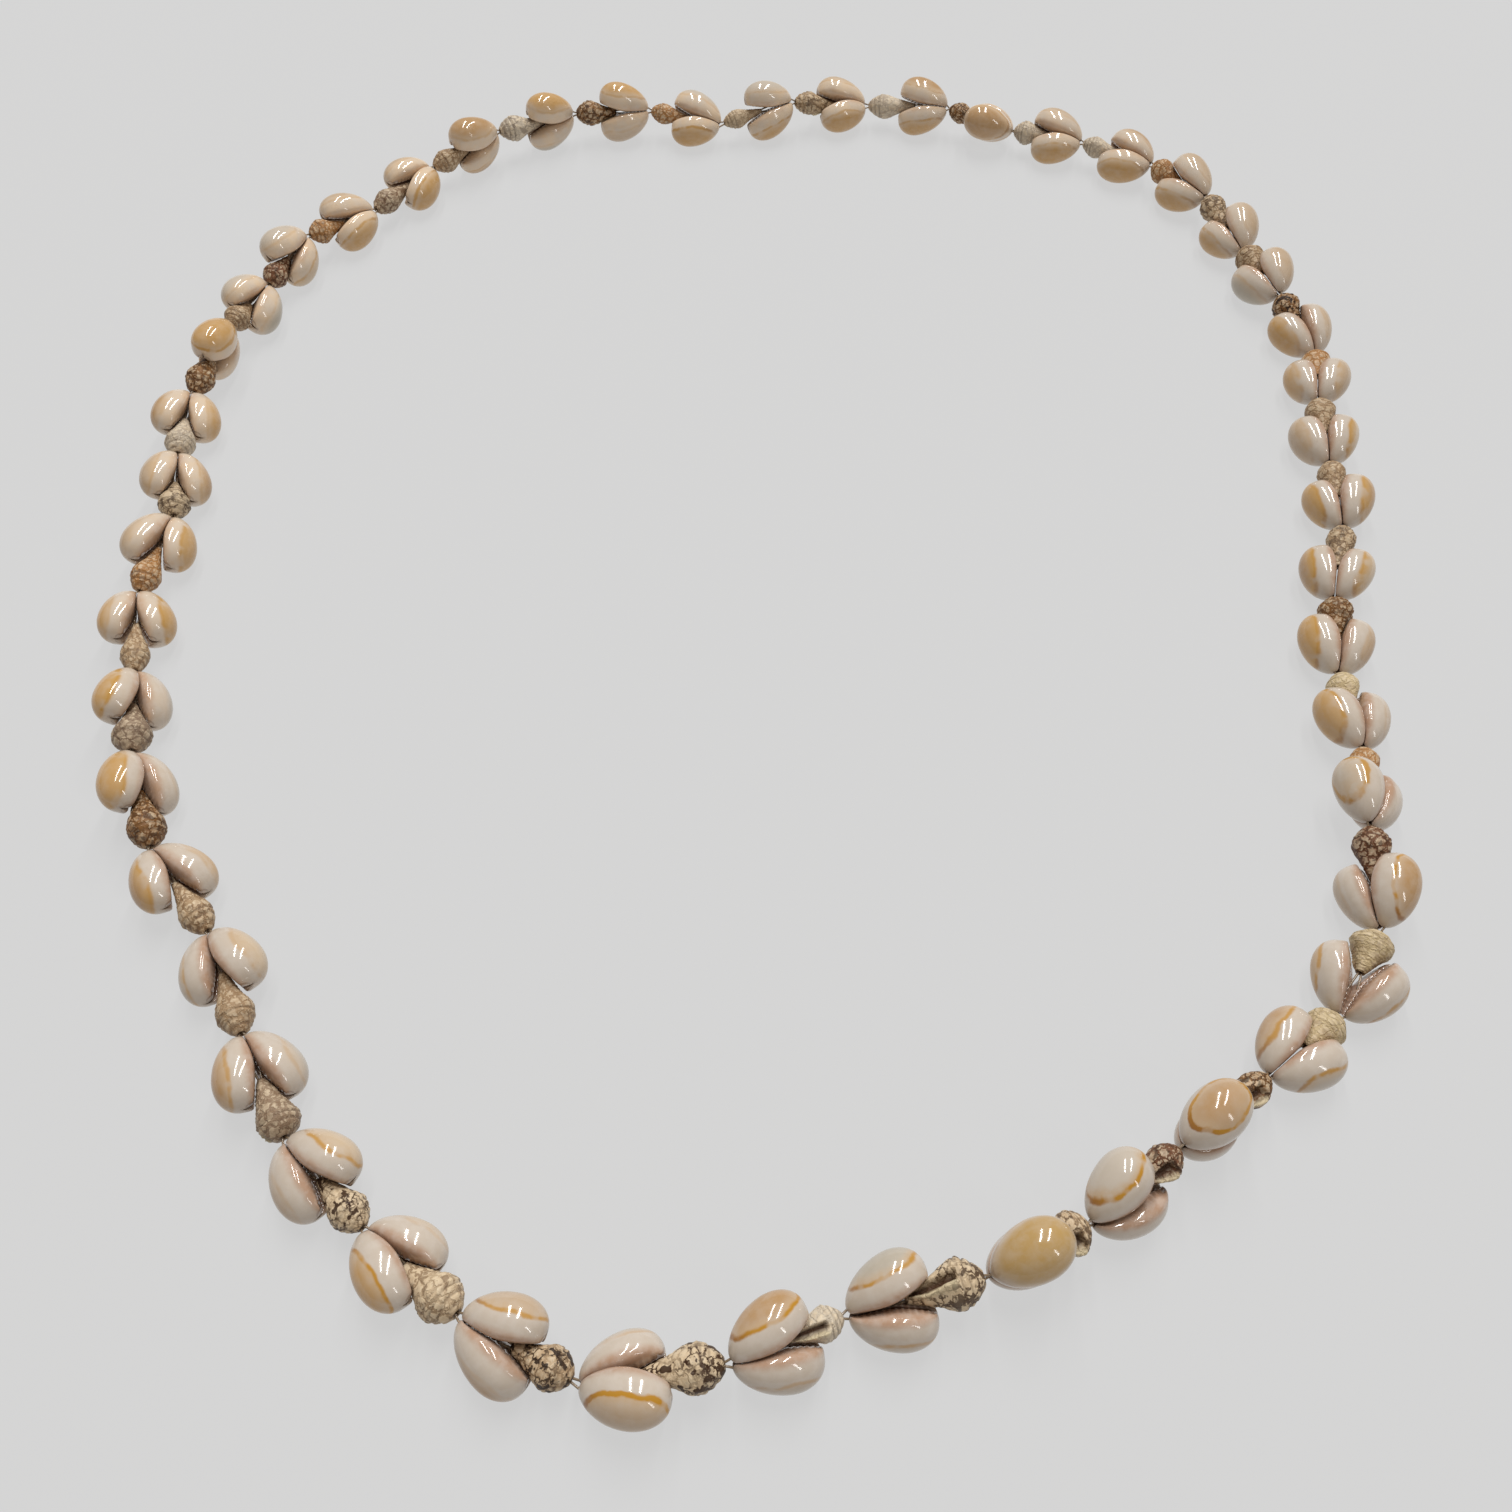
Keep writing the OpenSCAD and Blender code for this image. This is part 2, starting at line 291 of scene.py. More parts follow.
cowrie = {
    # shares of the length; the width and the lift of the base are the string's
    "backRise": 0.07,
    "frontFullness": 0.60, "wideFullness": 0.475,  # lower is blunter
    "baseSwell": [(0, 0), (0.1, 0.014), (0.2, 0.033), (0.32, 0.056), (0.44, 0.072), (0.54, 0.075),
                  (0.64, 0.066), (0.74, 0.052), (0.84, 0.034), (0.93, 0.015), (1, 0)],
    "slit": 0.036, "slitDepth": 0.085,  # half width and depth of the mouth
    "teeth": 12, "toothReach": 0.085,   # on each side, and how far they run out over the base
    "toothJut": 0.012, "toothGap": 0.007, "lipWidth": 0.02,
    "variants": [  # fullest place, width, height, bend of the mouth
        (0.57, 1.00, 1.00, 0.012), (0.55, 0.97, 1.00, 0.018), (0.59, 0.98, 0.98, 0.008),
        (0.60, 1.00, 0.97, 0.015), (0.56, 0.96, 0.98, 0.020)],
    # degrees by which a shell is rolled about its length to show its mouth from above, by pair
    # counted from 0 and side, 1 for the upper cowrie and -1 for the lower one
    "rolls": {(7, 1): 20, (7, -1): 20, (2, -1): 14, (4, -1): 14},
    "middle": 0.56,  # where along a shell the roll is centred
    # marks
    "tones": {  # back of the shell inside its ring
        "white": "#C2B7A8", "cream": "#CBB598", "tan": "#B38E62", "beige": "#BEA68A",
        "honey": "#C1985F", "ochre": "#B6955E", "grey": "#B4AB9B"},
    # for each pair: back tone and ring strength of the upper cowrie, then of the lower one
    "looks": [
        ("beige", 1.5, "white", 0.3), ("tan", 1.0, "white", 0.4), ("grey", 0.9, "white", 0.6),
        ("ochre", 0.3, "white", 0.2), ("white", 1.1, "white", 0.2), ("tan", 1.7, "white", 0.3),
        ("tan", 0.8, "white", 0.8), ("honey", 0.8, "beige", 0.8), ("tan", 1.0, "beige", 0.2),
        ("white", 1.2, "white", 0.2), ("honey", 1.0, "beige", 0.2), ("honey", 1.1, "tan", 0.3),
        ("cream", 0.9, "tan", 1.0), ("tan", 0.9, "honey", 0.9), ("cream", 0.9, "beige", 0.3),
        ("beige", 0.5, "honey", 0.4), ("beige", 0.3, "honey", 0.5), ("beige", 0.2, "grey", 0.3),
        ("beige", 0.2, "honey", 0.5), ("beige", 0.2, "honey", 0.5), ("tan", 0.2, "honey", 0.4),
        ("beige", 0.2, "honey", 0.4), ("tan", 0.6, "honey", 0.4), ("tan", 0.3, "honey", 0.6),
        ("beige", 0.3, "honey", 0.4), ("white", 0.2, "honey", 0.6), ("white", 0.2, "honey", 0.7),
        ("honey", 0.4, "beige", 0.2), ("honey", 0.3, "grey", 0.2), ("tan", 0.3, "tan", 0.4),
        ("beige", 0.2, "honey", 0.7), ("beige", 0.3, "honey", 0.6), ("white", 0.2, "cream", 0.5),
        ("white", 0.2, "grey", 0.2), ("honey", 1.2, "white", 0.2), ("tan", 0.3, "honey", 0.3),
        ("beige", 0.4, "tan", 0.4), ("beige", 0.2, "honey", 0.8), ("honey", 0.4, "honey", 0.9),
        ("honey", 1.2, "white", 0.1), ("honey", 0.9, "white", 0.2), ("tan", 0.9, "honey", 0.3),
        ("cream", 0.4, "white", 0.6), ("tan", 0.8, "white", 0.3), ("cream", 0.9, "beige", 0.2),
        ("honey", 1.0, "cream", 0.2), ("beige", 0.8, "tan", 0.2),
    ],
    "ringHeight": 4.25, "wander": 2.0, "fineWander": 0.5,  # mm above the base, and how far it strays
    "ringLifts": {  # mm by which the ring sits nearer the top of the back, by pair and side
        (3, 1): -1.6, (5, 1): 0.6, (6, -1): 0.8, (7, 1): 0.9, (7, -1): 1.0, (8, 1): -0.3,
        (9, 1): 0.9, (30, -1): -1.4, (31, -1): -1.3, (39, 1): -0.3, (40, 1): -0.9},
    # strength, middle pair and reach in pairs of what changes along the string
    "farLift": (-0.9, 27, 12),                      # the ring of the others sits lower, mm
    "softBands": [(1, 13.5, 4.5), (1, 38.5, 5)],    # the golden line is a soft, wide band
    "farBlush": (0.72, 28.5, 10), "blush": 0.06,    # paler, warmer sides
    # glaze
    "roughness": 0.10, "ior": 1.56,
    # base: a darker, warmer tone near the base, painted shade of the underside
    "colours": {"side": "#C4B8AA", "base": "#AE8C74", "cloud": "#D3CAC0", "ring": "#B9830E",
                "darkRing": "#95601A", "blush": "#E7CCAA", "glow": "#C09552", "creaseShade": "#6B4835"},
    "patterns": {  # noise: scale per mm, detail, roughness
        "slow": (0.17, 1, 0.5),    # the ring wanders over about 6 mm
        "fine": (0.9, 2, 0.5),     # and its edge over about 1 mm
        "breaks": (0.33, 1, 0.5),  # it breaks off every 3 mm or so
        "clouds": (0.45, 3, 0.6),  # milky clouds about 2 mm across
        "swell": (0.5, 1, 0.5)},   # dents about 2 mm across, which bend the highlights
    "masks": {  # what a mask reads, in mm or as noise, from and to, and its strength at either end
        # darker and warmer towards the base: painted shade of the underside
        "side": ("height", -0.4, 1.5, 0, 1),
        "blush": ("slow", 0.25, 0.65, 0.5, 1),
        "cloud": ("clouds", 0.35, 0.7, 0, 0.35),
        "back": ("above", -0.4, 2.2, 0, 1),
        "patchyBack": ("clouds", 0.25, 0.75, 1, 0.74),
        "line": ("offRing", 0.1, 0.609, 1, 0),
        "breaks": ("breaks", 0.30, 0.52, 0.35, 1),
        "paleEnd": ("length", 1.5, 6.0, 0, 1),
        "glowStart": ("above", -0.5, 0.3, 0, 1),
        "glowEnd": ("above", 0.3, 1.8, 0.45, 0),
        "bandStart": ("above", -1.1, 0.4, 0, 1),
        "bandEnd": ("above", 0.5, 2.6, 0.9, 0),
        # painted shade round the notch, fading out higher up
        "notchShadeArc": ("offNotch", 0.03, 0.34, 0.4, 0),
        "notchTop": ("height", 1.3, 2.0, 1, 0)},
    "lineStrength": 0.92, "softLine": 0.46,         # of the golden line, and what a soft band takes off
    "notchPlace": (16.4, 0, 0), "notchReach": 1.7,  # mm
    "swellHeight": 0.012, "fineSwell": 0.15,        # mm, and share of the fine noise
    "ownShift": (0.37, 5.1),                        # moves the marks, by pair and by side
}


def cowrieMesh(name, fullest, wide, high, bend):
    # rows run from the drilled narrow end to the wide end, and each goes round from the mouth's roof
    middle = np.linspace(0.07, 0.93, 3 * cowrie["teeth"] + 1)
    narrowEnd, wideEnd = [0.004, 0.013, 0.028, 0.048], [0.952, 0.971, 0.986, 0.996]
    xs = np.concatenate([narrowEnd, middle, wideEnd])
    away = np.where(xs < fullest, (fullest - xs) / fullest, (xs - fullest) / (1 - fullest))
    girth = (1 - away ** 2) ** np.where(xs < fullest, cowrie["frontFullness"], cowrie["wideFullness"])
    radius = string["widthShare"] / 2
    half = radius * wide * girth
    axis = string["baseLift"] + cowrie["backRise"] * xs
    top = axis + radius * high * girth
    dip = axis - radius * girth
    low = 0.5 * (dip + np.sqrt(dip ** 2 + 0.02 ** 2))  # never below the flat base
    slit = np.minimum(cowrie["slit"] * (0.8 + 0.5 * xs), 0.22 * half)
    roof = np.minimum(low + cowrie["slitDepth"] + 0.07 * ramp(0.90, 0.99, xs), top - 0.03)
    tooth = np.zeros(len(xs))
    tooth[len(narrowEnd):len(narrowEnd) + len(middle)] = (np.arange(len(middle)) % 3 == 1)
    reach = np.minimum(cowrie["toothReach"], 0.4 * half)
    ends = ramp(0, 0.12, xs) * ramp(1.0, 0.9, xs)
    side = [  # from the roof of the mouth round to the back: across, height, painted shade (darkest in the mouth, less on the teeth than between them)
        (0.85 * slit, roof, 1.0),
        (slit, 0.5 * (roof + low), 0.9),
        (slit - cowrie["toothJut"] * tooth * ends, low + 0.012, 0.55 - 0.5 * tooth),
        (slit + cowrie["lipWidth"] - 0.5 * cowrie["toothJut"] * tooth,
         low + cowrie["toothGap"] * (1 - tooth) * ends, 0.40 - 0.40 * tooth),
        (slit + reach, low + 0.005 * (1 - tooth) * ends, 0.18 - 0.18 * tooth),
        (0.62 * half, low, 0),
        (0.80 * half, low + 0.05 * (axis - low), 0),
        (0.93 * half, low + 0.20 * (axis - low), 0),
        (0.985 * half, low + 0.52 * (axis - low), 0),
        (half, axis, 0)]
    side += [(half * cos(a), axis + (top - axis) * sin(a), 0) for a in np.radians(np.linspace(8, 82, 11))]
    swell = smoothCurve(cowrie["baseSwell"], xs)
    held = [1, 1, 1, 1, 1, 1, 0.92, 0.78, 0.45] + [0] * 12  # how far each row of side follows the swell
    side = [(across, height - share * swell, dark) for (across, height, dark), share in zip(side, held)]
    full = [(0, roof, 1.0)] + side + [(0, top, 0)] + [(-s[0], s[1], s[2]) for s in reversed(side)]
    rows = np.zeros((len(xs), len(full), 3))
    dark = np.zeros((len(xs), len(full)))
    centre = bend * np.sin(pi * xs)
    hidden = 1 - 0.7 * ramp(0.86, 0.95, xs)  # the painted shade of the mouth fades out at the wide end
    for c, (across, height, shade) in enumerate(full):
        inMouth = 1 if c < 6 or c > len(full) - 6 else 0
        rows[:, c] = np.column_stack([xs, across + inMouth * centre, height + 0 * xs])
        dark[:, c] = shade * hidden
    mesh = meshFromRows(name, rows, (0, 0, string["baseLift"]), (1, 0, axis[-1] + 0.01))
    places = np.array([v.co for v in mesh.vertices]) * string["cowrieLength"]
    setAttribute(mesh, "shellPlace", "FLOAT_VECTOR", places)
    # painted shade in the mouth and between the teeth, and a little at either end
    setAttribute(mesh, "creaseShade", "FLOAT", np.concatenate([[0.3], dark.ravel(), [0.2]]))
    return mesh


def newMaterial(name, roughness, ior):
    material = bpy.data.materials.new(name)
    material.use_nodes = True
    shader = material.node_tree.nodes["Principled BSDF"]
    shader.inputs["Roughness"].default_value = roughness
    shader.inputs["IOR"].default_value = ior
    return material, material.node_tree, shader


def ownPlace(tree):
    # place on the shell in mm, moved by the shell's own number so that no two are marked alike
    place = addNode(tree, "ShaderNodeAttribute", attribute_name="shellPlace").outputs["Vector"]
    seed = addNode(tree, "ShaderNodeAttribute", attribute_name="shellSeed").outputs["Fac"]
    shift = addNode(tree, "ShaderNodeVectorMath", {0: (7.3, 3.1, 5.7), "Scale": seed}, operation="SCALE")
    return place, addNode(tree, "ShaderNodeVectorMath", (place, shift), operation="ADD")


def glazedCowrieShell():
    # natural enamel of a ring cowrie: china-smooth and milky at the sides, with a golden line
    # round a tan back; painted shade in the mouth, between the teeth, in the notch at the wide end and
    # towards the base
    tints = {name: hexColour(text) for name, text in cowrie["colours"].items()}
    material, tree, shader = newMaterial("glazedCowrieShell", cowrie["roughness"], cowrie["ior"])
    add = partial(addNode, tree)
    place, moved = ownPlace(tree)
    own = {name: add("ShaderNodeAttribute", attribute_name=name).outputs["Fac"]
           for name in ("creaseShade", "ringPower", "ringLift", "softBand", "blush")}
    backTint = add("ShaderNodeAttribute", attribute_name="backTint").outputs["Color"]
    along = add("ShaderNodeSeparateXYZ", [place]).outputs
    reads = {name: add("ShaderNodeTexNoise", {"Vector": moved, "Scale": scale, "Detail": detail,
                                              "Roughness": rough})
             for name, (scale, detail, rough) in cowrie["patterns"].items()}
    # mm above the golden ring, which wanders round the shell
    lowest = -cowrie["ringHeight"] - 0.5 * (cowrie["wander"] + cowrie["fineWander"])
    stray = add("ShaderNodeMath", (reads["slow"], cowrie["wander"], lowest), operation="MULTIPLY_ADD")
    stray = add("ShaderNodeMath", (reads["fine"], cowrie["fineWander"], stray), operation="MULTIPLY_ADD")
    above = add("ShaderNodeMath", (along["Z"], stray), operation="ADD")
    above = add("ShaderNodeMath", (above, own["ringLift"]), operation="SUBTRACT")
    toNotch = add("ShaderNodeVectorMath", (place, cowrie["notchPlace"]), operation="DISTANCE")
    offNotch = add("ShaderNodeMath", (toNotch, cowrie["notchReach"]), operation="SUBTRACT")
    reads.update({"height": along["Z"], "length": along["X"], "above": above,
                  "offRing": add("ShaderNodeMath", [above], operation="ABSOLUTE"),
                  "offNotch": add("ShaderNodeMath", [offNotch], operation="ABSOLUTE")})
    masks = {name: add("ShaderNodeMapRange", (reads[source], *span), interpolation_type="SMOOTHSTEP")
             for name, (source, *span) in cowrie["masks"].items()}
    power = add("ShaderNodeMath", (own["ringPower"], masks["breaks"]), operation="MULTIPLY")
    fullPower = add("ShaderNodeMath", (power, 1.0), operation="MINIMUM")
    # the line itself, weaker where it is a soft band
    line = add("ShaderNodeMath", (masks["line"], power), operation="MULTIPLY")
    line = add("ShaderNodeMath", (line, 1.0), operation="MINIMUM")
    held = add("ShaderNodeMath", (own["softBand"], -cowrie["softLine"], cowrie["lineStrength"]),
               operation="MULTIPLY_ADD")
    line = add("ShaderNodeMath", (line, held), operation="MULTIPLY")
    # the golden glow on the back side of the line, wider in a soft band
    glow = add("ShaderNodeMath", (masks["glowStart"], masks["glowEnd"]), operation="MULTIPLY")
    band = add("ShaderNodeMath", (masks["bandStart"], masks["bandEnd"]), operation="MULTIPLY")
    band = add("ShaderNodeMath", (band, own["softBand"]), operation="MULTIPLY")
    glow = add("ShaderNodeMath", (glow, band), operation="MAXIMUM")
    glow = add("ShaderNodeMath", (glow, fullPower), operation="MULTIPLY")
    blush = add("ShaderNodeMath", (own["blush"], masks["blush"]), operation="MULTIPLY")
    back = add("ShaderNodeMath", (masks["back"], masks["patchyBack"]), operation="MULTIPLY")
    # the notch: painted shade in a short arc round the end of the mouth
    notch = add("ShaderNodeMath", (masks["notchShadeArc"], masks["notchTop"]), operation="MULTIPLY")
    # painted shade of the mouth, the teeth and the notch
    dark = add("ShaderNodeMath", (own["creaseShade"], notch), operation="MAXIMUM")
    ringTone = add("ShaderNodeMix", {0: masks["paleEnd"], 6: tints["darkRing"], 7: tints["ring"]},
                   data_type="RGBA")
    # the first tone is the base one, painted shade of the underside
    colour = tints["base"]
    for share, over in ((masks["side"], tints["side"]), (blush, tints["blush"]),
                        (masks["cloud"], tints["cloud"]), (back, backTint), (glow, tints["glow"]),
                        (line, ringTone), (dark, tints["creaseShade"])):
        colour = add("ShaderNodeMix", {0: share, 6: colour, 7: over}, data_type="RGBA")
    swell = add("ShaderNodeMath", (reads["fine"], cowrie["fineSwell"], reads["swell"]),
                operation="MULTIPLY_ADD")
    bump = add("ShaderNodeBump", {"Height": swell, "Distance": cowrie["swellHeight"] * mm, "Strength": 1.0})
    tree.links.new(colour.outputs["Result"], shader.inputs["Base Color"])
    tree.links.new(bump.outputs["Normal"], shader.inputs["Normal"])
    return material


def swathe(i, strength, middle, reach):
    # full round the middle pair, nothing much past its reach
    return strength * exp(-((i - middle) / reach) ** 4)


def strungCowries(name, side):
    masters = mastersCollection(name + "Master", [
        cowrieMesh(f"{name}Mesh{k}", *v) for k, v in enumerate(cowrie["variants"])])
    places, turns = [], []
    middleHeight = (string["baseLift"] + cowrie["middle"] * cowrie["backRise"]) * string["cowrieLength"]
    for i, p in enumerate(pairs):
        a, n = splayOf(i), side * p["normal"]
        along, out = cos(a) * p["way"] + sin(a) * n, cos(a) * n - sin(a) * p["way"]
        roll, across = radians(cowrie["rolls"].get((i, side), 0)), along.cross(out)
        across = across if across.z > 0 else -across
        rolled = cos(roll) * out - sin(roll) * across
        turns.append(eulerOf(along, rolled))
        places.append(mm * (p["joint"] + middleHeight * (out - rolled)))  # rolled about the shell's middle
    source = pointObject(name + "Points", places)
    order = range(pairCount)
    byPair, bySide = cowrie["ownShift"]
    backs, rings = zip(*[look[:2] if side > 0 else look[2:] for look in cowrie["looks"]])
    lifts = [cowrie["ringLifts"].get((i, side), swathe(i, *cowrie["farLift"])) for i in order]
    for layer, kind, values in (
            ("turn", "FLOAT_VECTOR", turns),
            ("spread", "FLOAT_VECTOR", [[cowrieSize(i, side)] * 3 for i in order]),
            ("kind", "INT", [(3 * i + side) % len(cowrie["variants"]) for i in order]),
            ("backTint", "FLOAT_COLOR", [hexColour(cowrie["tones"][tone]) for tone in backs]),
            ("ringPower", "FLOAT", rings),
            ("ringLift", "FLOAT", lifts),
            ("softBand", "FLOAT", [sum(swathe(i, *band) for band in cowrie["softBands"]) for i in order]),
            ("blush", "FLOAT", [cowrie["blush"] + swathe(i, *cowrie["farBlush"]) for i in order]),
            ("shellSeed", "FLOAT", [byPair * i + bySide * side for i in order])):
        setAttribute(source.data, layer, kind, values)
    piece = finishPiece(name, source, strungShells, {
        "Masters": masters, "Unit length": string["cowrieLength"] * mm, "Material": cowrieShell},
        ("turn", "spread", "kind"))
    dropCollection(masters)
    return piece


cowrieShell = glazedCowrieShell()
upperCowries = strungCowries("upperCowries", 1)
lowerCowries = strungCowries("lowerCowries", -1)
for piece, node in ((upperCowries, "upper_cowries"), (lowerCowries, "lower_cowries")):
    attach(piece, "root")
    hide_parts(node)
print("cowries strung:", len(upperCowries.data.polygons), "faces in the upper ones")

spiral = {
    "columnsRound": 34, "columnsMouth": 16, "mouthSpan": radians(64), "length": 13.0,  # mm
    "dove": [  # distance from the front end as a share of the length, radius as a share of the width
        (0, 0.11), (0.06, 0.14), (0.14, 0.185), (0.24, 0.24), (0.34, 0.30), (0.44, 0.375),
        (0.54, 0.455), (0.62, 0.495), (0.69, 0.495), (0.76, 0.465), (0.82, 0.415), (0.88, 0.35),
        (0.93, 0.28), (0.97, 0.21), (1, 0.14)],
    "turban": [
        (0, 0.08), (0.06, 0.14), (0.15, 0.20), (0.26, 0.27), (0.38, 0.33), (0.50, 0.41), (0.62, 0.48),
        (0.74, 0.50), (0.85, 0.46), (0.93, 0.36), (0.97, 0.26), (1, 0.14)],
    # outline, height of the lumps, of the knobs, of the ribs, half width of the mouth, its two ends,
    # flare of its lip, own number
    "variants": {
        "smooth": ("dove", 0.008, 0.0, 0.004, 0.050, 0.02, 0.60, 0.06, 1.7),
        "ribbed": ("dove", 0.006, 0.010, 0.013, 0.040, 0.02, 0.58, 0.05, 4.2),
        "lumpy": ("dove", 0.024, 0.008, 0.0, 0.040, 0.02, 0.56, 0.10, 7.9),
        "beaded": ("dove", 0.020, 0.020, 0.004, 0.036, 0.02, 0.55, 0.06, 11.4),
        "knobby": ("dove", 0.016, 0.030, 0.006, 0.045, 0.02, 0.60, 0.12, 15.8),
        "open": ("dove", 0.014, 0.012, 0.005, 0.125, 0.28, 0.74, 0.10, 19.3),
        "gaping": ("dove", 0.020, 0.010, 0.0, 0.085, 0.03, 0.70, 0.12, 27.5),
        "turban": ("turban", 0.010, 0.0, 0.010, 0.130, 0.62, 0.98, 0.05, 23.6),
    },
    # shares of the length or of the width
    "spireStart": (0.62, 0.72),                       # where the last whorl gives way to the spire
    "whorlWidening": 0.07,                            # of the last whorl, towards the lip
    "whorls": (0.70, 0.095), "whorlStep": 0.10,       # start and pitch of the spire, height of its steps
    "knobsRound": 11, "knobRow": (0.655, 0.05),       # place and half width of the row
    "ribPitch": 0.062, "slant": 0.05,
    "cellScale": 0.62, "furrowWidth": 0.45,           # lumps about 1.5 mm across
    "unevenScale": 0.28, "unevenness": 0.035,
    "mouthDepth": 0.52, "lipReach": 0.30, "poleRadius": 0.062,
    "tones": {
        "cream": "#CEB796", "white": "#D3C6B1", "sand": "#B69A78", "brown": "#8E6438", "rust": "#7A5034",
        "orange": "#B5834F", "grey": "#A18B73", "yellow": "#D5C197", "dark": "#3A2210",
        "umber": "#664426", "black": "#28170B", "mauve": "#5E4538"},
    # for each shell: degrees that its mouth is turned outwards from straight up, form, ground, marks,
    # how marked, how ribbed
    "looks": [
        (130, "lumpy", "cream", "dark", 1.0, 0.0), (20, "gaping", "white", "umber", 0.12, 0.0),
        (-12, "gaping", "cream", "dark", 0.9, 0.0), (42, "open", "sand", "dark", 0.7, 0.0),
        (40, "open", "rust", "dark", 0.8, 0.0), (35, "open", "brown", "black", 0.8, 0.0),
        (200, "ribbed", "yellow", "umber", 0.25, 0.4), (230, "ribbed", "yellow", "umber", 0.3, 0.4),
        (150, "knobby", "rust", "dark", 0.7, 0.2), (120, "smooth", "orange", "umber", 0.15, 0.1),
        (200, "smooth", "yellow", "umber", 0.15, 0.2), (100, "beaded", "brown", "dark", 0.5, 0.1),
        (160, "knobby", "sand", "dark", 0.6, 0.3), (220, "lumpy", "sand", "umber", 0.5, 0.2),
        (140, "smooth", "sand", "umber", 0.4, 0.3), (100, "smooth", "orange", "umber", 0.2, 0.2),
        (190, "lumpy", "brown", "black", 1.0, 0.0), (150, "ribbed", "sand", "umber", 0.6, 0.6),
        (120, "knobby", "sand", "dark", 0.7, 0.2), (200, "smooth", "orange", "umber", 0.4, 0.3),
        (160, "smooth", "white", "umber", 0.3, 0.3), (120, "ribbed", "white", "umber", 0.3, 0.6),
        (180, "beaded", "brown", "dark", 0.8, 0.0), (140, "smooth", "white", "umber", 0.3, 0.3),
        (200, "knobby", "sand", "dark", 0.6, 0.2), (160, "ribbed", "cream", "umber", 0.3, 0.6),
        (120, "smooth", "orange", "dark", 0.4, 0.2), (190, "beaded", "brown", "dark", 0.8, 0.1),
        (140, "knobby", "white", "mauve", 0.5, 0.2), (170, "smooth", "sand", "umber", 0.5, 0.4),
        (200, "beaded", "grey", "umber", 0.7, 0.2), (150, "knobby", "orange", "umber", 0.5, 0.2),
        (180, "lumpy", "rust", "dark", 0.7, 0.0), (130, "ribbed", "sand", "umber", 0.5, 0.5),
        (170, "beaded", "brown", "dark", 0.7, 0.0), (150, "smooth", "white", "umber", 0.4, 0.3),
        (200, "lumpy", "cream", "dark", 0.8, 0.3), (140, "knobby", "orange", "umber", 0.5, 0.3),
        (180, "beaded", "sand", "umber", 0.5, 0.2), (160, "beaded", "grey", "mauve", 0.5, 0.2),
        (200, "lumpy", "brown", "dark", 0.7, 0.3), (230, "beaded", "sand", "umber", 0.6, 0.2),
        (200, "ribbed", "sand", "umber", 0.4, 0.6), (100, "turban", "grey", "umber", 0.35, 0.3),
        (230, "lumpy", "cream", "dark", 1.0, 0.0), (110, "knobby", "cream", "umber", 0.6, 0.0),
        (220, "lumpy", "sand", "black", 1.0, 0.0),
    ],
    "roughness": 0.50, "ior": 1.5, "specular": 0.3,
    # the dark brown tone on the next line: painted shade inside the mouth and along the sutures
    "worn": "#E0CEB0", "lip": "#DCCDA9", "hollowShade": "#4A3220",
    "patterns": {  # noise: scale per mm, detail, roughness
        "flecks": (1.1, 3, 0.6),    # grain of the lime, really finer: drawn about 1 mm wide so that it shows
        "patches": (0.30, 2, 0.5),  # brown skin left over about 3 mm
        "blots": (0.62, 2, 0.5),    # spots about 1.5 mm wide
        "bend": (1.3, 2, 0.5)},
    "cells": 0.50, "bendBy": (1.6, 1.6, 1.6),         # net of furrows 2 mm wide, and mm by which it strays
    "grooves": {"Scale": 0.42, "Distortion": 1.2, "Detail": 1.0, "Detail Scale": 0.5},  # 0.75 mm apart
    "masks": {  # what a mask reads, from and to, and its strength at either end
        "cells": ("cells", 0, 0.17, 0, 1), "raised": ("raised", 0, 0.5, 0.6, 1),
        "patches": ("patches", 0.40, 0.62, 0, 1), "blots": ("blots", 0.55, 0.60, 0, 0.95),
        "flecks": ("flecks", 0.56, 0.64, 0, 0.8), "paling": ("flecks", 0.3, 0.7, 0.15, 0.8)},
    # the same for what reads the crests of the lumps and the grooves
    "furrowDark": (0.10, 0.55, 1, 0), "crestPale": (0.5, 1, 0, 1), "ribStain": (0.9, 0.2, 0, 0.35),
    "patchShare": 0.85, "lipStrength": 0.85,
    "reliefHeight": 0.12, "reliefStrength": 0.9,      # mm
    "fleckRelief": 0.5, "ribRelief": 0.8,
    "ownShift": (0.61, 2.3),                          # moves the marks, by shell and for all
}


